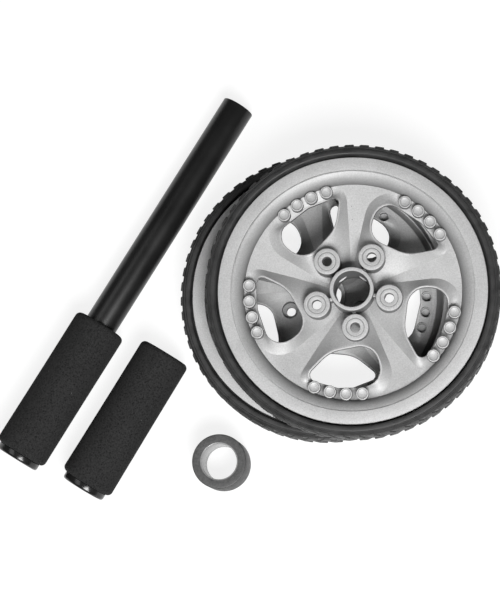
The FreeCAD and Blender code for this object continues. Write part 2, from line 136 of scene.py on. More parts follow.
def counted_from(radius: float, height: float, corners: Sequence[Corner]) -> list[Corner]:
    """Corners of a section that are given from a radius and a height."""
    return [(radius + corner[0], height + corner[1], *corner[2:]) for corner in corners]


def turned(section: Sequence[Vector], facets: Facets, closed: bool = True) -> BMesh:
    """Turns a section about the upright axis.

    Args:
        section: radius and height of its points.
        facets: facets of the full turn.
        closed: whether its last point joins its first, rather than both lying on the axis.

    Returns:
        A mesh in millimetres with its faces outwards.
    """
    bm = bmesh.new()
    verts = [bm.verts.new((point.x, 0, point.y)) for point in section]
    ends = verts[1:] + verts[:1] if closed else verts[1:]
    geometry = verts + [bm.edges.new(pair) for pair in zip(verts, ends)]
    steps = facets.value
    bmesh.ops.spin(bm, geom=geometry, angle=FULL_TURN, steps=steps, use_merge=True, **ABOUT_UP)
    tidied(bm)
    return bm


def tidied(bm: BMesh) -> None:
    """Merges double points and turns the faces outwards."""
    bmesh.ops.remove_doubles(bm, verts=bm.verts, dist=MERGED)
    bmesh.ops.recalc_face_normals(bm, faces=bm.faces)


def move(bm: BMesh, matrix: Matrix) -> None:
    """Moves the whole mesh."""
    bmesh.ops.transform(bm, matrix=matrix, verts=bm.verts)


def rounded_edges(bm: BMesh, edges: list[BMEdge], rounding: float) -> None:
    """Rounds edges of a mesh."""
    bmesh.ops.bevel(
        bm, geom=edges, offset=rounding, affect="EDGES", segments=2, profile=0.5, material=-1
    )


def copied_round(bm: BMesh, count: int, step: float) -> None:
    """Copies the mesh round the upright axis.

    Args:
        bm: the mesh, which becomes the first copy.
        count: copies in all.
        step: angle between neighbours in degrees.
    """
    geometry = bm.verts[:] + bm.edges[:] + bm.faces[:]
    angle, steps = math.radians(step) * (count - 1), count - 1
    bmesh.ops.spin(bm, geom=geometry, angle=angle, steps=steps, use_duplicate=True, **ABOUT_UP)


def add_shell(bm: BMesh, shell: BMesh) -> None:
    """Adds a second mesh to the first.

    Args:
        bm: the mesh that grows.
        shell: what is added, freed here.
    """
    mesh = bpy.data.meshes.new("shell")
    shell.to_mesh(mesh)
    shell.free()
    bm.from_mesh(mesh)
    bpy.data.meshes.remove(mesh)


def as_object(bm: BMesh, name: str) -> Object:
    """Makes a scene object of a mesh.

    Args:
        bm: the mesh, freed here.
        name: the object's name.

    Returns:
        The object, at the origin.
    """
    mesh = bpy.data.meshes.new(name)
    bm.to_mesh(mesh)
    bm.free()
    obj = bpy.data.objects.new(name, mesh)
    bpy.context.scene.collection.objects.link(obj)
    return obj


def cut(bm: BMesh, tool: BMesh) -> BMesh:
    """Cuts one mesh out of another.

    Args:
        bm: what is cut, freed here.
        tool: what is taken away, freed here.

    Returns:
        What is left.
    """
    body, blade = as_object(bm, "body"), as_object(tool, "blade")
    modifier = body.modifiers.new("cut", "BOOLEAN")
    modifier.operation = "DIFFERENCE"
    modifier.solver = "EXACT"
    modifier.object = blade
    graph = bpy.context.evaluated_depsgraph_get()
    mesh = bpy.data.meshes.new_from_object(body.evaluated_get(graph))
    left = bmesh.new()
    left.from_mesh(mesh)
    for obj in (body, blade):
        old = obj.data
        bpy.data.objects.remove(obj)
        bpy.data.meshes.remove(old)
    bpy.data.meshes.remove(mesh)
    bmesh.ops.remove_doubles(left, verts=left.verts, dist=MERGED_AFTER_CUT)
    return left


def neighbours(vert: BMVert) -> list[BMVert]:
    """The points that an edge joins to this one."""
    return [edge.other_vert(vert) for edge in vert.link_edges]


def drawn_along(loops: Sequence[Sequence[Vector]], ring: bool) -> BMesh:
    """Draws a loop along a row of loops and closes the mesh.

    Args:
        loops: the loops in order, each with as many points as the others.
        ring: whether the last loop joins the first, rather than both being filled.

    Returns:
        The mesh with its faces outwards.
    """
    bm = bmesh.new()
    verts = [bm.verts.new(point) for point in loops[0]]
    edges = [bm.edges.new(pair) for pair in zip(verts, verts[1:] + verts[:1])]
    first = edges
    for points in (*loops[1:], loops[0]) if ring else loops[1:]:
        grown = bmesh.ops.extrude_edge_only(bm, edges=edges)["geom"]
        fresh = {part for part in grown if isinstance(part, BMVert)}
        grown = [part for part in grown if isinstance(part, BMEdge)]
        edges = [edge for edge in grown if fresh.issuperset(edge.verts)]
        verts = [next(end for end in neighbours(vert) if end in fresh) for vert in verts]
        for vert, point in zip(verts, points):
            vert.co = point
    if not ring:
        for end in (first, edges):
            bmesh.ops.edgeloop_fill(bm, edges=end)
    tidied(bm)
    return bm


def placed(bm: BMesh, name: str, place: Matrix, edges: Edges) -> Object:
    """Makes a finished piece, with its place in its mesh.

    Args:
        bm: the mesh in millimetres, freed here.
        name: the piece's name.
        place: where it goes in the frame, in metres.
        edges: how its edges read.

    Returns:
        The piece, at the origin.
    """
    move(bm, place @ Matrix.Scale(MM, 4))
    piece = as_object(bm, name)
    piece.data.shade_smooth()
    piece.data.set_sharp_from_angle(angle=math.radians(edges.value))
    return piece


def along(start: Vector, axis: Vector) -> Matrix:
    """A place at start whose upright axis points along axis."""
    return Matrix.Translation(start) @ UP.rotation_difference(axis).to_matrix().to_4x4()


def turn(degrees: float) -> Matrix:
    """A turn about the upright axis."""
    return Matrix.Rotation(math.radians(degrees), 4, "Z")


@dataclass(frozen=True)
class RoundedOutline:
    """A closed outline drawn tightly round circles.

    Attributes:
        circles: centre across, centre along and radius in millimetres, counterclockwise.
        arc_steps: points on each round stretch.
        line_steps: points inside each straight stretch.
    """

    circles: tuple[Corner, ...]
    arc_steps: int = 9
    line_steps: int = 6

    def points(self, wider: float = 0.0, limit: float = math.inf) -> list[Vector]:
        """The outline's points.

        Args:
            wider: how far outside the outline they lie.
            limit: the furthest that they may lie from the axis.

        Returns:
            As many points, in the same order, for any width.
        """
        centres = [Vector(circle[:2]) for circle in self.circles]
        radii = [circle[2] for circle in self.circles]
        count = len(centres)
        normals = []
        for index in range(count):
            step = centres[(index + 1) % count] - centres[index]
            lean = (radii[index] - radii[(index + 1) % count]) / step.length
            step.normalize()
            normals.append(step * lean + Vector((step.y, -step.x)) * math.sqrt(1 - lean**2))
        outline: list[Vector] = []
        for index in range(count):
            following = (index + 1) % count
            for step in range(self.arc_steps):
                normal = normals[index - 1].slerp(normals[index], step / (self.arc_steps - 1))
                outline.append(centres[index] + normal * (radii[index] + wider))
            start = centres[index] + normals[index] * (radii[index] + wider)
            end = centres[following] + normals[index] * (radii[following] + wider)
            for step in range(1, self.line_steps + 1):
                outline.append(start.lerp(end, step / (self.line_steps + 1)))
        return [point * min(1.0, limit / point.length) for point in outline]


def depth_inside(spots: np.ndarray, outline: Sequence[Vector]) -> np.ndarray:
    """How deep places lie inside a rounded outline.

    Args:
        spots: places across and along, one in each row.
        outline: the outline's points, counterclockwise.

    Returns:
        The distance to the outline, below zero outside it.
    """
    starts = np.array([point[:2] for point in outline])
    runs = np.roll(starts, -1, axis=0) - starts
    lengths = np.hypot(runs[:, 0], runs[:, 1])
    real = lengths > TINY
    starts, runs, lengths = starts[real], runs[real] / lengths[real, None], lengths[real]
    gaps = spots[:, None, :] - starts[None, :, :]
    ahead = np.clip((gaps * runs).sum(axis=2), 0, lengths)
    reach = np.linalg.norm(gaps - ahead[:, :, None] * runs, axis=2).min(axis=1)
    side = (runs[:, 0] * gaps[:, :, 1] - runs[:, 1] * gaps[:, :, 0]).min(axis=1)
    return np.where(side >= 0, reach, -reach)


# Finishes


def grey(level: float) -> tuple[float, float, float, float]:
    """A plain grey of that level."""
    return (level, level, level, 1.0)


@dataclass(frozen=True)
class Specks:
    """Scattered specks.

    Attributes:
        tone: their grey.
        spacing: distance between possible specks in millimetres.
        size: a speck's radius as a share of that.
        rarity: share of the places that stay bare.
    """

    tone: float
    spacing: float
    size: float
    rarity: float


@dataclass(frozen=True)
class Relief:
    """Fine relief, with its depth in millimetres and the share of it that shows."""

    depth: float
    strength: float


class NodeBoard:
    """The nodes of one material or world."""

    def __init__(self, owner: Material | World) -> None:
        """Starts with one plain shader.

        Args:
            owner: the new material or world.
        """
        owner.use_nodes = True
        self.owner = owner
        self.tree = owner.node_tree
        self.output = next(node for node in self.tree.nodes if node.type.startswith("OUTPUT"))
        self.shader: Node = self.output.inputs["Surface"].links[0].from_node

    def set(self, node: Node, **inputs: object) -> None:
        """Sets or links a node's inputs.

        Args:
            node: the node.
            inputs: numbers or sockets, by the input's number or by its name with underscores.
        """
        for key, content in inputs.items():
            socket = node.inputs[int(key) if key.isdigit() else key.replace("_", " ")]
            if isinstance(content, NodeSocket):
                self.tree.links.new(content, socket)
            else:
                socket.default_value = content

    def add(self, kind: str, *terms: object, **inputs: object) -> Node:
        """Adds a node.

        Args:
            kind: Blender's name of the node.
            terms: what its first inputs get, in order.
            inputs: what other inputs get, by name.

        Returns:
            The node.
        """
        node = self.tree.nodes.new(f"ShaderNode{kind}")
        self.set(node, **{str(index): term for index, term in enumerate(terms)}, **inputs)
        return node

    def calc(self, operation: str, *terms: object, clamp: bool = False) -> NodeSocket:
        """Calculates with numbers.

        Args:
            operation: Blender's name of the operation.
            terms: its numbers or sockets in order.
            clamp: whether the result stays between 0 and 1.

        Returns:
            The result's socket.
        """
        node = self.add("Math", *terms)
        node.operation = operation
        node.use_clamp = clamp
        return node.outputs[0]

    def total(self, first: NodeSocket, *others: NodeSocket) -> NodeSocket:
        """Adds up numbers.

        Args:
            first: the first number.
            others: the rest.

        Returns:
            The socket of their sum, held between 0 and 1.
        """
        for other in others:
            first = self.calc("ADD", first, other, clamp=True)
        return first

    def position(self, centre: Vector | None = None) -> NodeSocket:
        """Where a point lies in the frame.

        Args:
            centre: where it is counted from, if not from the frame's origin.

        Returns:
            The socket of its coordinates.
        """
        coordinates = self.add("TexCoord").outputs["Object"]
        if centre is None:
            return coordinates
        return self.add("Mapping", Vector=coordinates, Location=-centre).outputs["Vector"]

    def noise(
        self, place: NodeSocket, size: float, detail: float = 3.0, warp: float = 0.0
    ) -> NodeSocket:
        """Cloudy variation.

        Args:
            place: where to read it.
            size: width of a cloud in millimetres.
            detail: levels of finer clouds.
            warp: how far the clouds are swirled.

        Returns:
            The socket of a number round one half.
        """
        look = {"Scale": 1 / (size * MM), "Detail": detail, "Distortion": warp}
        return self.add("TexNoise", Vector=place, **look).outputs["Fac"]

    def ramp(self, source: NodeSocket, span: Span, result: Span) -> NodeSocket:
        """Maps a number from one span to another and holds it there."""
        return self.add("MapRange", source, *span, *result).outputs["Result"]

    def mix(self, share: NodeSocket, under: NodeSocket | float, over: float) -> NodeSocket:
        """Mixes two colours.

        Args:
            share: how much the upper one covers, from 0 to 1.
            under: the lower colour, or a level of grey.
            over: the upper one's level of grey.

        Returns:
            The mixed colour's socket.
        """
        node = self.add("Mix")
        node.data_type = "RGBA"
        lower = under if isinstance(under, NodeSocket) else grey(under)
        self.set(node, **{"0": share, "6": lower, "7": grey(over)})
        return node.outputs[2]

    def reach(self, place: NodeSocket) -> NodeSocket:
        """Distance from the upright axis.

        Args:
            place: where to read it.

        Returns:
            The distance's socket.
        """
        flat = self.add("VectorMath", place, (1.0, 1.0, 0.0))
        flat.operation = "MULTIPLY"
        length = self.add("VectorMath", flat.outputs["Vector"])
        length.operation = "LENGTH"
        return length.outputs["Value"]

    def levelness(self) -> NodeSocket:
        """How level the surface lies, from nought on an upright wall to one."""
        normal = self.add("NewGeometry").outputs["Normal"]
        return self.calc("ABSOLUTE", self.add("SeparateXYZ", normal).outputs["Z"])

    def speckled(self, under: NodeSocket, place: NodeSocket, specks: Specks) -> NodeSocket:
        """Scatters a few specks over a colour.

        Args:
            under: the colour.
            place: where to read them.
            specks: what they are like.

        Returns:
            The speckled colour's socket.
        """
        cells = self.add("TexVoronoi", Vector=place, Scale=1 / (specks.spacing * MM))
        near = self.calc("LESS_THAN", cells.outputs["Distance"], specks.size)
        chance = self.add("SeparateColor", cells.outputs["Color"]).outputs[0]
        share = self.calc("MULTIPLY", near, self.calc("GREATER_THAN", chance, specks.rarity))
        return self.mix(share, under, specks.tone)

    def bumps(self, height: NodeSocket, relief: Relief) -> NodeSocket:
        """The normal of a surface with that relief."""
        look = {"Distance": relief.depth * MM, "Strength": relief.strength}
        return self.add("Bump", Height=height, **look).outputs["Normal"]

    def show_instead(self, other: Node, rays: Sequence[Ray]) -> None:
        """Shows another shader to some of the rays.

        Args:
            other: the shader that they see.
            rays: the kinds of ray.
        """
        path = self.add("LightPath")
        share = path.outputs[rays[0].value]
        for ray in rays[1:]:
            share = self.calc("MAXIMUM", share, path.outputs[ray.value])
        both = self.add("MixShader", share, self.shader.outputs[0], other.outputs[0])
        self.set(self.output, Surface=both.outputs[0])


@dataclass(frozen=True)
class Finish:
    """A finish, laid on a material's plain shader."""

    def make(self, name: str) -> Material:
        """Makes the finish.

        Args:
            name: the material's name.

        Returns:
            The material.
        """
        board = NodeBoard(bpy.data.materials.new(name))
        self.lay(board)
        return board.owner

    def lay(self, board: NodeBoard) -> None:
        """Lays the finish's nodes on the board."""
        raise NotImplementedError


@dataclass(frozen=True)
class WheelPlastic(Finish):
    """Silver-grey plastic: soft flow lines, a turned grain, a few specks, and painted shade that
    darkens its upright walls.

    Attributes:
        centre: where the wheel's axis stands.
    """

    centre: Vector
    dark: float = 0.40
    light: float = 0.60
    silver: float = 0.15
    wall_tone: float = 0.17
    wall_span: Span = (0.40, 0.985)
    roughness: Span = (0.46, 0.56)
    flow_size: float = 30.0
    flow_warp: float = 1.6
    flow_share: float = 0.28
    grain_size: float = 0.8
    grain_share: float = 0.60
    turning_pitch: float = 0.45
    turning_share: float = 0.12
    turning_relief: float = 0.6
    specks: Specks = Specks(0.10, 7.0, 0.04, 0.86)
    relief: Relief = Relief(0.02, 0.5)

    def lay(self, board: NodeBoard) -> None:
        """Lays the nodes.

        Args:
            board: the material's nodes.
        """
        place = board.position(self.centre)
        flow = board.noise(place, self.flow_size, detail=4.0, warp=self.flow_warp)
        grain = board.noise(place, self.grain_size, detail=2.0)
        turning = board.add("TexNoise", Scale=1 / (self.turning_pitch * MM), Detail=2.0)
        turning.noise_dimensions = "1D"
        board.set(turning, W=board.reach(place))
        rings = turning.outputs["Fac"]
        tone = board.total(
            board.ramp(flow, CLOUDS, (0.0, self.flow_share)),
            board.ramp(grain, CLOUDS, (0.0, self.grain_share)),
            board.ramp(rings, CLOUDS, (0.0, self.turning_share)),
        )
        # Painted shade: the steeper a wall stands, the more its colour goes to the darker wall
        # shade.
        upright = board.ramp(board.levelness(), self.wall_span, (1.0, 0.0))
        plain = board.mix(upright, board.mix(tone, self.dark, self.light), self.wall_tone)
        relief = board.calc("ADD", grain, board.calc("MULTIPLY", rings, self.turning_relief))
        board.set(
            board.shader,
            Base_Color=board.speckled(plain, place, self.specks),
            Roughness=board.ramp(flow, CLOUDS, self.roughness),
            Metallic=self.silver,
            Normal=board.bumps(relief, self.relief),
            Specular_IOR_Level=0.45,
        )


@dataclass(frozen=True)
class TyreRubber(Finish):
    """Black rubber, matt, with a dusty bloom and a fine moulded grain."""

    dark: float = 0.013
    light: float = 0.046
    roughness: Span = (0.42, 0.62)
    bloom_size: float = 9.0
    bloom_warp: float = 0.5
    bloom_span: Span = (0.35, 0.72)
    bloom_share: float = 0.7
    grain_size: float = 0.5
    grain_share: float = 0.3
    relief: Relief = Relief(0.05, 0.6)

    def lay(self, board: NodeBoard) -> None:
        """Lays the nodes.

        Args:
            board: the material's nodes.
        """
        place = board.position()
        bloom = board.noise(place, self.bloom_size, detail=5.0, warp=self.bloom_warp)
        grain = board.noise(place, self.grain_size)
        tone = board.total(
            board.ramp(bloom, self.bloom_span, (0.0, self.bloom_share)),
            board.ramp(grain, CLOUDS, (0.0, self.grain_share)),
        )
        board.set(
            board.shader,
            Base_Color=board.mix(tone, self.dark, self.light),
            Roughness=board.ramp(bloom, CLOUDS, self.roughness),
            Normal=board.bumps(grain, self.relief),
            Specular_IOR_Level=0.45,
        )


@dataclass(frozen=True)
class RodPaint(Finish):
    """Black paint with half gloss and a slight orange peel on a drawn tube."""

    dark: float = 0.006
    light: float = 0.012
    roughness: Span = (0.30, 0.38)
    cloud_size: float = 22.0
    peel_size: float = 1.6
    peel_detail: float = 2.0
    relief: Relief = Relief(0.03, 0.35)

    def lay(self, board: NodeBoard) -> None:
        """Lays the nodes.

        Args:
            board: the material's nodes.
        """
        place = board.position()
        cloud = board.noise(place, self.cloud_size, detail=4.0)
        peel = board.noise(place, self.peel_size, detail=self.peel_detail)
        board.set(
            board.shader,
            Base_Color=board.mix(cloud, self.dark, self.light),
            Roughness=board.ramp(cloud, CLOUDS, self.roughness),
            Normal=board.bumps(peel, self.relief),
            Specular_IOR_Level=0.5,
        )


@dataclass(frozen=True)
class SleevePlastic(RodPaint):
    """Black moulded plastic with a gloss and a coarser peel than the paint."""

    dark: float = 0.008
    light: float = 0.014
    roughness: Span = (0.16, 0.26)
    cloud_size: float = 6.0
    peel_size: float = 6.0
    peel_detail: float = 4.0
    relief: Relief = Relief(0.04, 0.3)


@dataclass(frozen=True)
class GripFoam(Finish):
    """Black closed-cell foam: a dull open grain of small cells, with a little dust."""

    dark: float = 0.002
    light: float = 0.034
    roughness: float = 0.92
    cell_size: float = 1.4
    cell_span: Span = (0.05, 0.55)
    cell_share: float = 0.45
    fine_ratio: float = 0.55
    fine_span: Span = (0.35, 0.65)
    fine_share: float = 0.45
    patch_size: float = 14.0
    patch_share: float = 0.1
    dust: Specks = Specks(0.16, 5.0, 0.045, 0.9)
    relief: Relief = Relief(0.16, 0.8)
    sheen: float = 0.03

    def lay(self, board: NodeBoard) -> None:
        """Lays the nodes.

        Args:
            board: the material's nodes.
        """
        place = board.position()
        cells = board.add("TexVoronoi", Vector=place, Scale=1 / (self.cell_size * MM))
        fine = board.noise(place, self.cell_size * self.fine_ratio)
        patch = board.noise(place, self.patch_size)
        hollow = board.ramp(cells.outputs["Distance"], self.cell_span, (0.0, 1.0))
        tone = board.total(
            board.calc("MULTIPLY", hollow, self.cell_share),
            board.ramp(fine, self.fine_span, (0.0, self.fine_share)),
            board.ramp(patch, CLOUDS, (0.0, self.patch_share)),
        )
        plain = board.mix(tone, self.dark, self.light)
        board.set(
            board.shader,
            Base_Color=board.speckled(plain, place, self.dust),
            Roughness=self.roughness,
            Normal=board.bumps(board.calc("ADD", hollow, fine), self.relief),
            Specular_IOR_Level=0.15,
            Sheen_Weight=self.sheen,
            Sheen_Roughness=0.5,
        )


@dataclass(frozen=True)
class SpacerPlastic(Finish):
    """Charcoal plastic, mottled and a little scuffed, lighter and smoother round its bore, with
    painted shade on its upright sides.

    Attributes:
        centre: where the ring's axis stands.
        bore: the bore's radius in millimetres.
    """

    centre: Vector
    bore: float
    dark: float = 0.03
    light: float = 0.105
    side_tone: float = 0.02
    side_span: Span = (0.1, 0.7)
    polished: float = 0.30
    polish_span: Span = (0.5, 0.9)
    roughness: Span = (0.42, 0.60)
    bore_roughness: float = 0.22
    mottle_size: float = 2.4
    mottle_warp: float = 0.4
    mottle_share: float = 0.45
    grain_size: float = 0.8
    grain_share: float = 0.55
    relief: Relief = Relief(0.05, 0.5)

    def lay(self, board: NodeBoard) -> None:
        """Lays the nodes.

        Args:
            board: the material's nodes.
        """
        place = board.position(self.centre)
        mottle = board.noise(place, self.mottle_size, detail=4.0, warp=self.mottle_warp)
        grain = board.noise(place, self.grain_size)
        tone = board.total(
            board.ramp(mottle, CLOUDS, (0.0, self.mottle_share)),
            board.ramp(grain, CLOUDS, (0.0, self.grain_share)),
        )
        # The bore and a thin band round it are lighter and smoother than the rest.
        near, far = ((self.bore + outward) * MM for outward in self.polish_span)
        near_bore = board.ramp(board.reach(place), (near, far), (1.0, 0.0))
        # Painted shade: the upright sides take a darker colour than the top and foot.
        side = board.ramp(board.levelness(), self.side_span, (1.0, 0.0))
        plain = board.mix(side, board.mix(tone, self.dark, self.light), self.side_tone)
        rough = board.ramp(mottle, CLOUDS, self.roughness)
        smoother = board.calc("SUBTRACT", self.bore_roughness, rough)
        board.set(
            board.shader,
            Base_Color=board.mix(near_bore, plain, self.polished),
            Roughness=board.calc("ADD", rough, board.calc("MULTIPLY", near_bore, smoother)),
            Normal=board.bumps(grain, self.relief),
            Specular_IOR_Level=0.5,
        )


# Pieces


def dressed(piece: Object, finish: Material, body: str, node: str) -> None:
    """Dresses a piece and sets it on its body.

    Args:
        piece: the finished mesh.
        finish: its material.
        body: the body that it rides on.
        node: the solid that it stands for.
    """
    piece.data.materials.clear()
    piece.data.materials.append(finish)
    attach(piece, body)
    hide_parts(node)
    log.info("%s on %s: %d faces", piece.name, body, len(piece.data.polygons))


@dataclass(frozen=True)
class Mount:
    """Where a mount sits, the way that it points, and its sizes in millimetres."""

    spot: Vector
    axis: Vector
    dims: dict[str, float]

    @classmethod
    def named(cls, name: str) -> "Mount":
        """Finds a mount in the frame."""
        found = next(item for item in frame["record"]["mounts"] if item["name"] == name)
        return cls(Vector(found["pos_m"]), Vector(found["axis"]).normalized(), found["dims"])


@dataclass
class Wheel:
    """A five-spoke wheel and its tyre, axis upright and back on the floor, in millimetres.

    Attributes:
        body: the body that it rides on.
        place: where it stands in the frame.
    """

    body: str
    place: Matrix
    width: float = 28.0
    windows: int = 5
    wall: float = 3.2
    rim_radius: float = 84.0
    rim_width: float = 25.0
    rim_rounding: float = 0.45
    ring_radius: float = 75.8
    ring_rounding: float = 0.2
    line_width: float = 0.6
    line_depth: float = 0.9
    shoulder: float = 7.2
    shoulder_slopes: Span = (22.0, 72.0)
    shoulder_steps: int = 16
    shoulder_top: float = 24.6
    barrel_radius: float = 76.0
    barrel_roundings: Span = (1.0, 0.8)
    back_rounding: float = 0.4
    seat_depth: float = 2.0
    seat_flange: float = 2.5
    hub_radius: float = 13.75
    hub_bore: float = 11.25
    hub_level: float = 11.4
    hub_rounding: float = 0.5
    window_level: float = 19.6
    window_lip: float = 1.15
    window_middle: Span = (52.5, -9.0)
    lip_steps: tuple[Corner, ...] = (
        (0.55, 0.0),
        (0.26, 0.1),
        (0.08, 0.3),
        (0.0, 0.6),
        (0.0, 2.6),
        (0.25, 3.05),
        (0.6, 3.2),
    )
    window: RoundedOutline = RoundedOutline(
        (
            (46.60, 0.85, 11.47),
            (57.71, -8.66, 21.53),
            (50.33, -27.27, 3.78),
            (55.75, -13.66, 3.48),
            (49.59, 2.26, 10.61),
        )
    )
    rise: RoundedOutline = RoundedOutline(
        (
            (22.34, -1.49, 10.32),
            (37.48, -14.12, 9.91),
            (52.62, -26.82, 8.89),
            (54.18, -12.43, 12.29),
            (51.60, 3.46, 14.60),
        )
    )
    rise_flare: float = 1.5
    rise_steps: int = 14
    rise_lap: float = 0.25
    rise_sink: float = 0.03
    shoulder_lap: float = 0.2
    opening_gap: float = 0.05
    foot_lap: float = 0.1
    boss_pitch: float = 23.7
    boss_radius: float = 8.4
    boss_rounding: float = 0.6
    boss_top: float = 25.0
    boss_hole: float = 3.0
    boss_pocket: float = 5.4
    boss_crown: tuple[Corner, ...] = ((0.45, 0.0, 0.12), (0.2, -0.42), (-0.15, -0.12, 0.1))
    boss_mouth: Corner = (0.0, -0.3, 0.35)
    boss_plug: float = 5.5
    rib_width: float = 2.2
    rib_top: float = 21.5
    rib_lap: float = 0.5
    rib_rounding: float = 0.35
    peg_pitch: float = 64.8
    peg_radius: float = 4.0
    peg_rounding: float = 0.45
    peg_top: float = 21.0
    peg_core: float = 2.8
    peg_core_drop: float = 2.5
    peg_crown: tuple[Corner, ...] = ((-0.85, 0.0, 0.2), (-1.2, -0.45, 0.2))
    peg_dish: float = 1.4
    peg_turns: tuple[float, ...] = (-26.325, -17.375, -8.425, 0.525)
    peg_dip: float = 5.0
    peg_dip_fade: float = 9.0
    peg_dip_start: float = 54.0
    peg_dip_run: float = 7.0
    tyre_fit: float = 0.05
    tyre_foot: float = 82.05
    tyre_bead: Corner = (-0.35, 1.2, 0.25)
    tyre_crest: Span = (85.4, 88.8)
    crest_roundings: Span = (1.0, 0.8)
    tyre_groove: tuple[Corner, ...] = ((0.05, 1.2), (0.65, 1.2), (0.75, 0.75, 0.2))
    tread_radius: float = 92.0
    tread_root: float = 91.15
    tread_shoulder: float = 3.0
    tread_rounding: float = 0.6
    knobs: int = 60
    knob_size: Span = (5.6, 10.8)
    knob_rounding: float = 0.5
    knob_inset: float = 2.3
    knob_slant: float = 0.30

    @property
    def shoulder_foot(self) -> float:
        """Where the round shoulder meets the spokes."""
        return self.ring_radius - self.line_width - self.shoulder

    @property
    def spoke_level(self) -> float:
        """Height of the spokes at the shoulder's foot."""
        return self.shoulder_top - self.shoulder

    @property
    def hub_middle(self) -> float:
        """Middle of the hub tube's wall, where the spokes end."""
        return (self.hub_radius + self.hub_bore) / 2

    def at_each_window(self, bm: BMesh) -> BMesh:
        """Copies what was made for the first window to the others."""
        copied_round(bm, self.windows, 360 / self.windows)
        return bm

    def spoke_height(self, reach: np.ndarray) -> np.ndarray:
        """Height of the plain spokes at that distance from the axis."""
        share = (reach - self.hub_middle) / (self.shoulder_foot - self.hub_middle)
        return self.hub_level + (self.spoke_level - self.hub_level) * share

    def rise_shares(self, spots: np.ndarray) -> np.ndarray:
        """How far up a rise places on the disc lie.

        Args:
            spots: places across and along, one in each row.

        Returns:
            Nought at a rise's foot and on the plain spokes, one at a window's lip.
        """
        share = np.zeros(len(spots))
        foot = self.rise.points(self.rise_flare)
        lip = self.window.points(self.window_lip)
        for number in range(self.windows):
            angle = FULL_TURN * number / self.windows
            sine, cosine = math.sin(angle), math.cos(angle)
            local = spots @ np.array(((cosine, -sine), (sine, cosine)))
            inside = np.maximum(depth_inside(local, foot), 0)
            outside = np.maximum(-depth_inside(local, lip), 0)
            share = np.maximum(share, inside / np.maximum(inside + outside, TINY))
        return share

    def surface(self, spots: np.ndarray) -> np.ndarray:
        """Height of the disc's face, the spokes or a rise, at places across and along."""
        plain = self.spoke_height(np.hypot(spots[:, 0], spots[:, 1]))
        return plain + (self.window_level - plain) * self.rise_shares(spots)

    def disc(self) -> BMesh:
        """Turns the disc with rim, ring, shoulder and plain spokes.

        Returns:
            The disc, in one closed shell.
        """
        line = self.ring_radius - self.line_width
        seat = self.rim_radius - self.seat_depth
        flange = self.rim_width - self.seat_flange
        web, corner = self.barrel_roundings
        outline = [
            (self.hub_middle, self.hub_level - self.wall),
            (self.shoulder_foot, self.spoke_level - self.wall),
            (self.shoulder_foot + self.wall, self.spoke_level - self.wall, web),
            (self.barrel_radius, self.rim_width - self.wall, corner),
            (self.barrel_radius, 0.0, self.back_rounding),
            (self.rim_radius, 0.0, self.back_rounding),
            (self.rim_radius, self.seat_flange),
            (seat, self.seat_flange),
            (seat, flange),
            (self.rim_radius, flange),
            (self.rim_radius, self.rim_width, self.rim_rounding),
            (self.ring_radius, self.rim_width, self.ring_rounding),
            (self.ring_radius, self.rim_width - self.line_depth),
            (line, self.rim_width - self.line_depth),
        ]
        section = rounded_section(outline, segments=3)
        first, last = (math.radians(slope) for slope in self.shoulder_slopes)
        across, down = math.sin(last) - math.sin(first), math.cos(first) - math.cos(last)
        for step in range(self.shoulder_steps + 1):
            slope = first + (last - first) * step / self.shoulder_steps
            inward = (math.sin(slope) - math.sin(first)) / across
            drop = (math.cos(first) - math.cos(slope)) / down
            height = self.shoulder_top - self.shoulder * drop
            section.append(Vector((line - self.shoulder * inward, height)))
        section.append(Vector((self.hub_middle, self.hub_level)))
        return turned(section, Facets.DISC)

    def rise_openings(self) -> BMesh:
        """What is cut out of the disc for the rises, straight through.

        Returns:
            One closed shell for each window.
        """
        outline = self.rise.points(self.rise_flare, self.shoulder_foot - self.opening_gap)
        foot = [point.to_3d() for point in outline]
        top = [point + UP * self.width for point in foot]
        return self.at_each_window(drawn_along((foot, top), False))

    def window_facing(self, foot: list[Vector], wider: float) -> list[Vector]:
        """Points of the window's outline on the rays from its middle to the rise's foot.

        Args:
            foot: the outline of the rise's foot.
            wider: how far outside the window's edge the points lie, in millimetres.

        Returns:
            As many points as the foot has.
        """
        outline = np.array([point[:] for point in self.window.points(wider)])
        middle = np.array(self.window_middle)
        turns = np.arctan2(*(outline - middle).T[::-1])
        wanted = np.arctan2(*(np.array([point[:] for point in foot]) - middle).T[::-1])
        order = np.argsort(turns)
        turns, outline = turns[order], outline[order]
        spots = [np.interp(wanted, turns, column, period=FULL_TURN) for column in outline.T]
        return [Vector(spot) for spot in zip(*spots)]

    def lip_heights(self, lip: list[Vector]) -> list[float]:
        """Heights of a window's lip, lower where it runs behind the pegs.

        Args:
            lip: the lip's outline.

        Returns:
            The height at each of its points.
        """
        heights = []
        for point in lip:
            angle = math.degrees(math.atan2(point.y, point.x))
            beside = max(self.peg_turns[0] - angle, angle - self.peg_turns[-1], 0.0)
            outward = (point.length - self.peg_dip_start) / self.peg_dip_run
            dip = min(max(outward, 0.0), 1.0) * max(1.0 - beside / self.peg_dip_fade, 0.0)
            heights.append(self.window_level - self.peg_dip * dip * dip * (3 - 2 * dip))
        return heights

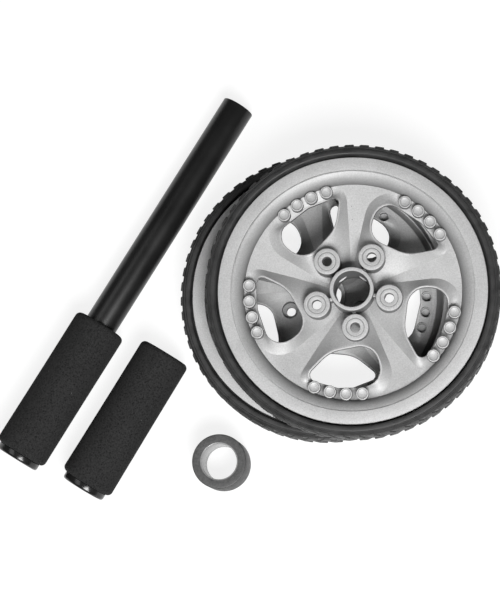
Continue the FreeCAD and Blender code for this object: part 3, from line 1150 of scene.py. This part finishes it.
    def rises(self) -> BMesh:
        """The walls that rise from the spokes to the windows' lips, in front and behind.

        Returns:
            One closed ring for each window.
        """
        foot = self.rise.points(
            self.rise_flare + self.rise_lap, self.shoulder_foot + self.shoulder_lap
        )
        lip = self.window_facing(foot, self.window_lip)
        levels = self.spoke_height(np.array([point.length for point in foot]))
        tops = self.lip_heights(lip)
        front = []
        for step in range(self.rise_steps + 1):
            share = step / self.rise_steps
            loop = []
            for low, high, level, top in zip(foot, lip, levels, tops):
                height = level + (top - level) * share - self.rise_sink * (1 - share)
                loop.append(low.lerp(high, share).to_3d() + UP * height)
            front.append(loop)
        back = [[point - UP * self.wall for point in loop] for loop in reversed(front)]
        edge = []
        for wider, drop in self.lip_steps:
            spots = self.window_facing(foot, wider)
            edge.append([spot.to_3d() + UP * (top - drop) for spot, top in zip(spots, tops)])
        return self.at_each_window(drawn_along((*front, *edge, *back), True))

    def pockets(self) -> BMesh:
        """What is cut under the bosses and pegs, whose own walls fill it again.

        Returns:
            One closed shell for each boss and peg.
        """
        bm = bmesh.new()
        for radius, reach, turns in (
            ((self.boss_pocket + self.boss_radius) / 2, self.boss_pitch, (0.0,)),
            ((self.peg_core + self.peg_radius) / 2, self.peg_pitch, self.peg_turns),
        ):
            size = {"radius1": radius, "radius2": radius, "depth": self.width}
            for angle in turns:
                spot = turn(angle) @ Matrix.Translation((reach, 0, self.width / 2))
                bmesh.ops.create_cone(
                    bm, cap_ends=True, segments=Facets.PEG.value, matrix=spot, **size
                )
        return self.at_each_window(bm)

    def hub(self) -> BMesh:
        """The hub tube.

        Returns:
            The tube, in one closed shell.
        """
        section = rounded_section(
            (
                (self.hub_bore, 0.0, self.back_rounding),
                (self.hub_radius, 0.0, self.back_rounding),
                (self.hub_radius, self.width, self.hub_rounding),
                (self.hub_bore, self.width, self.hub_rounding),
            )
        )
        return turned(section, Facets.TUBE)

    def footed(self, bm: BMesh) -> None:
        """Lifts what stands at height zero to just inside the back of the disc.

        Args:
            bm: bosses or pegs that stand in their places.
        """
        feet = [vert for vert in bm.verts if vert.co.z < self.foot_lap]
        heights = self.surface(np.array([vert.co.xy[:] for vert in feet])) - self.wall
        for vert, height in zip(feet, heights):
            vert.co.z = height + self.foot_lap

    def bosses(self) -> BMesh:
        """The screw bosses, each with a ring pressed into its top and a rib to the hub.

        Returns:
            Two closed shells for each window.
        """
        top, pocket, hole = self.boss_top, self.boss_pocket, self.boss_hole
        section = rounded_section(
            (
                (pocket, 0.0),
                (self.boss_radius, 0.0),
                (self.boss_radius, top, self.boss_rounding),
                *counted_from(pocket, top, self.boss_crown),
                *counted_from(hole, top, (self.boss_mouth,)),
                (hole, top - self.boss_plug),
                (pocket, top - self.boss_plug),
            ),
            segments=3,
        )
        bm = turned(section, Facets.BOSS)
        move(bm, Matrix.Translation((self.boss_pitch, 0, 0)))
        self.footed(bm)
        start = self.hub_middle
        length = self.boss_pitch - self.boss_radius + self.rib_lap - start
        height = self.rib_top - self.hub_level + self.wall / 2
        rib = bmesh.new()
        bmesh.ops.create_cube(rib, size=1.0)
        spot = Matrix.Translation((start + length / 2, 0, self.rib_top - height / 2))
        move(rib, spot @ Matrix.Diagonal((length, self.rib_width, height, 1)))
        rounded_edges(rib, rib.edges[:], self.rib_rounding)
        add_shell(bm, rib)
        return self.at_each_window(bm)

    def pegs(self) -> BMesh:
        """The pegs beside the windows, each with a dished top and a core from behind.

        Returns:
            One closed shell for each peg.
        """
        top, radius = self.peg_top, self.peg_radius
        section = rounded_section(
            (
                (0.0, top - self.peg_core_drop),
                (self.peg_core, top - self.peg_core_drop),
                (self.peg_core, 0.0),
                (radius, 0.0),
                (radius, top, self.peg_rounding),
                *counted_from(radius, top, self.peg_crown),
                (0.0, top - self.peg_dish),
            ),
            segments=3,
        )
        bm = turned(section, Facets.PEG, closed=False)
        move(bm, turn(self.peg_turns[0]) @ Matrix.Translation((self.peg_pitch, 0, 0)))
        copied_round(bm, len(self.peg_turns), self.peg_turns[1] - self.peg_turns[0])
        self.footed(bm)
        return self.at_each_window(bm)

    def build_moulding(self) -> None:
        """Builds the grey moulding in one piece."""
        bm = cut(cut(self.disc(), self.rise_openings()), self.pockets())
        rises = cut(self.rises(), self.pockets())
        for shell in (rises, self.hub(), self.bosses(), self.pegs()):
            add_shell(bm, shell)
        piece = placed(bm, f"{self.body}_grey_moulding", self.place, Edges.MOULDED)
        finish = WheelPlastic(self.place.translation).make(f"{self.body}_plastic")
        dressed(piece, finish, self.body, f"{self.body}_moulding")

    def knob_row(self, height: float, angle: float, slant: float) -> BMesh:
        """One row of tread knobs.

        Args:
            height: middle of the row above the wheel's back.
            angle: where the first knob stands, in degrees.
            slant: how far a knob leans over its length.

        Returns:
            The row.
        """
        bm = bmesh.new()
        bmesh.ops.create_cube(bm, size=1.0)
        depth = (self.tread_radius - self.tread_root) * 2
        lean = Matrix.Shear("XY", 4, (0.0, slant))
        move(bm, lean @ Matrix.Diagonal((depth, *self.knob_size, 1)))
        outer = [edge for edge in bm.edges if all(vert.co.x > 0 for vert in edge.verts)]
        rounded_edges(bm, outer, self.knob_rounding)
        move(bm, Matrix.Translation((self.tread_radius - depth / 2, 0, height)))
        move(bm, turn(angle))
        copied_round(bm, self.knobs, 360 / self.knobs)
        return bm

    def build_tyre(self, finish: Material) -> None:
        """Builds the tyre: a ring with grooved sidewalls and two rows of slanted knobs.

        Args:
            finish: its material.
        """
        inner, outer = self.tyre_crest
        seat = self.rim_radius + self.tyre_fit
        low = self.seat_flange + self.tyre_fit
        high = self.rim_width - self.seat_flange - self.tyre_fit
        half = [
            *counted_from(inner, low, (self.tyre_bead,)),
            (inner, 0.0, self.crest_roundings[0]),
            (outer, 0.0, self.crest_roundings[1]),
            *counted_from(outer, 0.0, self.tyre_groove),
            (self.tread_root, self.tread_shoulder, self.tread_rounding),
        ]
        front = [(corner[0], self.width - corner[1], *corner[2:]) for corner in reversed(half)]
        foot = self.tyre_foot
        ends = (foot, low), (seat, low), (seat, high), (foot, high)
        section = rounded_section((*ends[:2], *half, *front, *ends[2:]), segments=3)
        bm = turned(section, Facets.TYRE)
        row = self.knob_inset + self.knob_size[1] / 2
        add_shell(bm, self.knob_row(row, 0.0, self.knob_slant))
        add_shell(bm, self.knob_row(self.width - row, 180 / self.knobs, -self.knob_slant))
        piece = placed(bm, f"{self.body}_black_tyre", self.place, Edges.MOULDED)
        node = self.body.replace("wheel", "tyre")
        dressed(piece, finish, self.body, node)


@dataclass
class Rod:
    """The painted rod, a tube that is open at both ends, sizes in millimetres.

    Attributes:
        tip: middle of its free end in the frame.
        axis: from there to its other end.
    """

    tip: Vector
    axis: Vector
    radius: float = 10.65
    wall: float = 1.5
    length: float = 267.0
    rounding: float = 0.6
    bore_rounding: float = 0.4

    def build(self, finish: Material) -> None:
        """Builds the tube from its free end.

        Args:
            finish: its material.
        """
        bore = self.radius - self.wall
        section = rounded_section(
            (
                (bore, 0.0, self.bore_rounding),
                (self.radius, 0.0, self.rounding),
                (self.radius, self.length, self.rounding),
                (bore, self.length, self.bore_rounding),
            )
        )
        place = along(self.tip, self.axis)
        piece = placed(turned(section, Facets.TUBE), "rod_painted_tube", place, Edges.TURNED)
        dressed(piece, finish, "rod", "rod_tube")


@dataclass
class Grip:
    """A hand grip: a foam sleeve over a plastic sleeve with a closed end, in millimetres.

    Attributes:
        body: the body that it rides on.
        mouth: middle of the foam's open end in the frame.
        axis: from the mouth to the closed end.
        flare: how far the foam's mouth is drawn in.
        swell: how far its closed end stands proud.
        waist: how far it is drawn in between its ends.
    """

    body: str
    mouth: Vector
    axis: Vector
    flare: float
    swell: float
    waist: float = 0.1
    radius: float = 17.4
    length: float = 97.6
    rounding: float = 3.3
    foam_steps: int = 40
    lip_bore: float = 11.0
    lip_set_in: float = 0.5
    lip_rounding: float = 0.45
    core_radius: float = 12.8
    core_set_in: float = 1.5
    core_rounding: float = 0.4
    bore: float = 10.7
    bore_end: float = 98.6
    bore_rounding: float = 0.5
    flange_radius: float = 14.6
    flange_rounding: float = 1.6
    sleeve_end: float = 102.1
    dish_shares: Span = (0.62, 0.58)
    dish_depth: float = 0.4
    dish_rounding: float = 0.25
    fit: float = 0.05

    def foam_radius(self, share: float) -> float:
        """Radius of the foam at that share of its length."""
        drawn_in = self.flare * (1 - share)
        return self.radius + self.swell * share - drawn_in - self.waist * math.sin(math.pi * share)

    def build_foam(self, finish: Material) -> None:
        """Builds the foam sleeve, closed in round the rod at its mouth and flat on the floor.

        Args:
            finish: its material.
        """
        inner = self.core_radius + self.fit
        shares = [step / self.foam_steps for step in range(1, self.foam_steps)]
        side = [(self.foam_radius(share), self.length * share) for share in shares]
        last = self.length - self.rounding
        section = rounded_section(
            (
                (self.lip_bore, self.lip_set_in, self.lip_rounding),
                (self.foam_radius(0.0), 0.0, self.rounding),
                *(corner for corner in side if self.rounding < corner[1] < last),
                (self.foam_radius(1.0), self.length, self.rounding),
                (inner, self.length),
                (inner, self.core_set_in - self.fit),
                (self.lip_bore, self.core_set_in - self.fit),
            ),
            segments=8,
        )
        bm = turned(section, Facets.FOAM)
        piece = placed(bm, f"{self.body}_soft_foam", along(self.mouth, self.axis), Edges.SOFT)
        for vert in piece.data.vertices:
            vert.co.z = max(vert.co.z, 0.0)
        dressed(piece, finish, self.body, f"{self.body}_foam")

    def build_sleeve(self, finish: Material) -> None:
        """Builds the plastic sleeve with its closed end.

        Args:
            finish: its material.
        """
        flange = self.length + self.fit
        dish = self.sleeve_end - self.dish_depth
        dish_edge, dish_foot = (self.flange_radius * share for share in self.dish_shares)
        section = rounded_section(
            (
                (0.0, self.bore_end),
                (self.bore, self.bore_end, self.bore_rounding),
                (self.bore, self.core_set_in, self.core_rounding),
                (self.core_radius, self.core_set_in, self.core_rounding),
                (self.core_radius, flange),
                (self.flange_radius, flange, self.core_rounding),
                (self.flange_radius, self.sleeve_end, self.flange_rounding),
                (dish_edge, self.sleeve_end, self.dish_rounding),
                (dish_foot, dish, self.dish_rounding),
                (0.0, dish),
            ),
            segments=6,
        )
        bm = turned(section, Facets.TUBE, closed=False)
        piece = placed(bm, f"{self.body}_end_sleeve", along(self.mouth, self.axis), Edges.TURNED)
        dressed(piece, finish, self.body, f"{self.body}_sleeve")


@dataclass
class Spacer:
    """The spacer ring with a line round its side, sizes in millimetres.

    Attributes:
        middle: middle of its bore in the frame.
    """

    middle: Vector
    radius: float = 17.25
    bore: float = 11.2
    height: float = 28.0
    rounding: float = 0.8
    line_drop: float = 2.4
    line_width: float = 0.8
    line_depth: float = 0.6
    line_rounding: float = 0.15

    def build(self, finish: Material) -> None:
        """Builds the ring on the floor.

        Args:
            finish: its material.
        """
        line_top = self.height - self.line_drop
        line_foot = line_top - self.line_width
        section = rounded_section(
            (
                (self.bore, 0.0, self.rounding),
                (self.radius, 0.0, self.rounding),
                (self.radius, line_foot, self.line_rounding),
                (self.radius - self.line_depth, line_foot),
                (self.radius - self.line_depth, line_top),
                (self.radius, line_top, self.line_rounding),
                (self.radius, self.height, self.rounding),
                (self.bore, self.height, self.rounding),
            )
        )
        place = Matrix.Translation(self.middle - UP * self.height * MM / 2)
        piece = placed(turned(section, Facets.TUBE), "spacer_collar", place, Edges.TURNED)
        dressed(piece, finish, "spacer", "spacer_ring")


# Studio


@dataclass(frozen=True)
class Panel:
    """A soft light panel: where it hangs, its sides in metres and its power in watts."""

    name: str
    spot: Vector
    size: Span
    energy: float

    def hang(self, aim: Vector) -> None:
        """Hangs the panel.

        Args:
            aim: what it faces.
        """
        data = bpy.data.lights.new(self.name, "AREA")
        data.shape = "RECTANGLE"
        data.size, data.size_y = self.size
        data.energy = self.energy
        lamp = bpy.data.objects.new(self.name, data)
        lamp.matrix_world = along(self.spot, (self.spot - aim).normalized())
        bpy.context.scene.collection.objects.link(lamp)


@dataclass
class Studio:
    """The pale floor, the soft light and the camera.

    Attributes:
        aim: the point on the floor in the middle of the picture.
        toward: the way that the camera leans from straight above, as seen on the floor.
        lean: how far it leans in degrees.
        distance: from the camera to the aim in metres.
        lens: focal length in millimetres.
        film: width of the film in millimetres.
        view_end: how far the camera sees in metres.
        floor_drop: how far the floor lies under the pieces, in metres.
        light_aim: the point that the panels face.
    """

    aim: Vector = Vector((-0.0501, 0.0014, 0.0))
    toward: Vector = Vector((0.58, -0.81, 0.0))
    lean: float = 10.8
    distance: float = 1.3
    lens: float = 119.82
    film: float = 36.0
    view_end: float = 50.0
    floor_size: float = 6.0
    floor_drop: float = 0.0003
    floor_tone: float = 0.20
    floor_roughness: float = 0.9
    floor_shadow: float = 0.22
    floor_glow: float = 0.84
    ambient: float = 0.07
    light_aim: Vector = Vector((-0.05, 0.0, 0.02))
    panels: tuple[Panel, ...] = (
        Panel("key_panel", Vector((0.23, -0.74, 1.20)), (0.6, 0.6), 24.0),
        Panel("left_panel", Vector((-0.75, 0.15, 1.30)), (0.6, 0.9), 2.6),
    )

    def build_camera(self) -> None:
        """Sets the camera at the photograph's viewing angle."""
        back = UP.copy()
        back.rotate(Matrix.Rotation(math.radians(self.lean), 3, UP.cross(self.toward)))
        data = bpy.data.cameras.new("camera")
        data.lens = self.lens
        data.sensor_width = self.film
        data.clip_end = self.view_end
        camera = bpy.data.objects.new("camera", data)
        camera.matrix_world = along(self.aim + back * self.distance, back)
        bpy.context.scene.collection.objects.link(camera)
        bpy.context.scene.camera = camera

    def build_floor(self) -> None:
        """Lays the floor, which keeps the shadows and reads as white."""
        bm = bmesh.new()
        bmesh.ops.create_grid(bm, x_segments=1, y_segments=1, size=self.floor_size / 2)
        floor = as_object(bm, "floor")
        floor.location.z = -self.floor_drop
        board = NodeBoard(bpy.data.materials.new("pale_floor"))
        board.set(
            board.shader,
            Base_Color=grey(self.floor_tone),
            Roughness=self.floor_roughness,
            Specular_IOR_Level=0.0,
        )
        glow = board.add("Emission", Color=WHITE, Strength=self.floor_glow)
        faint = board.add("BsdfDiffuse", Color=grey(self.floor_shadow))
        white = board.add("AddShader", faint.outputs[0], glow.outputs[0])
        board.show_instead(white, (Ray.CAMERA, Ray.GLOSSY, Ray.CLEAR))
        floor.data.materials.append(board.owner)

    def build_world(self) -> None:
        """Surrounds the scene with an even white light, and shows it as plain white."""
        board = NodeBoard(bpy.data.worlds.new("white_room"))
        board.set(board.shader, Color=WHITE, Strength=self.ambient)
        white = board.add("Background", Color=WHITE, Strength=1.0)
        board.show_instead(white, (Ray.CAMERA, Ray.CLEAR))
        bpy.context.scene.world = board.owner

    def build(self) -> None:
        """Builds the studio."""
        bpy.context.scene.view_settings.view_transform = "Standard"
        self.build_camera()
        self.build_floor()
        self.build_world()
        for panel in self.panels:
            panel.hang(self.light_aim)
        log.info("studio with %d panels", len(self.panels))


def main() -> None:
    """Builds every piece in order."""
    logging.basicConfig(level=logging.INFO, format="%(name)s: %(message)s")
    rubber = TyreRubber().make("tyre_rubber")
    foam = GripFoam().make("grip_foam")
    sleeve = SleevePlastic().make("sleeve_plastic")
    thickness = UP * Wheel.width * MM
    face_down = Matrix.Translation(thickness) @ turn(LOWER_TURN)
    over = Matrix.Rotation(math.pi, 4, "X")
    lower_place = Matrix.Translation(Mount.named("lower_hub_bore").spot) @ face_down @ over
    upper_foot = Mount.named("upper_hub_bore").spot - thickness
    upper_place = Matrix.Translation(upper_foot) @ turn(UPPER_TURN)
    for body, place in (("lower_wheel", lower_place), ("upper_wheel", upper_place)):
        wheel = Wheel(body, place)
        wheel.build_moulding()
        wheel.build_tyre(rubber)
    end = Mount.named("rod_free_end")
    Rod(end.spot, -end.axis).build(RodPaint().make("rod_paint"))
    rod_mouth = end.spot - end.axis * end.dims["length_mm"] * MM
    seat = Mount.named("loose_grip_bore")
    loose_mouth = seat.spot + seat.axis * Grip.core_set_in * MM
    rod_grip = Grip("rod_grip", rod_mouth, -end.axis, flare=0.05, swell=0.0)
    loose_grip = Grip("loose_grip", loose_mouth, -seat.axis, flare=0.35, swell=0.25)
    for grip in (rod_grip, loose_grip):
        grip.build_foam(foam)
        grip.build_sleeve(sleeve)
    spacer = Spacer(Mount.named("spacer_bore").spot)
    spacer.build(SpacerPlastic(spacer.middle, spacer.bore).make("spacer_plastic"))
    Studio().build()
    log.info("boxes written")


if __name__ == "__main__":
    main()
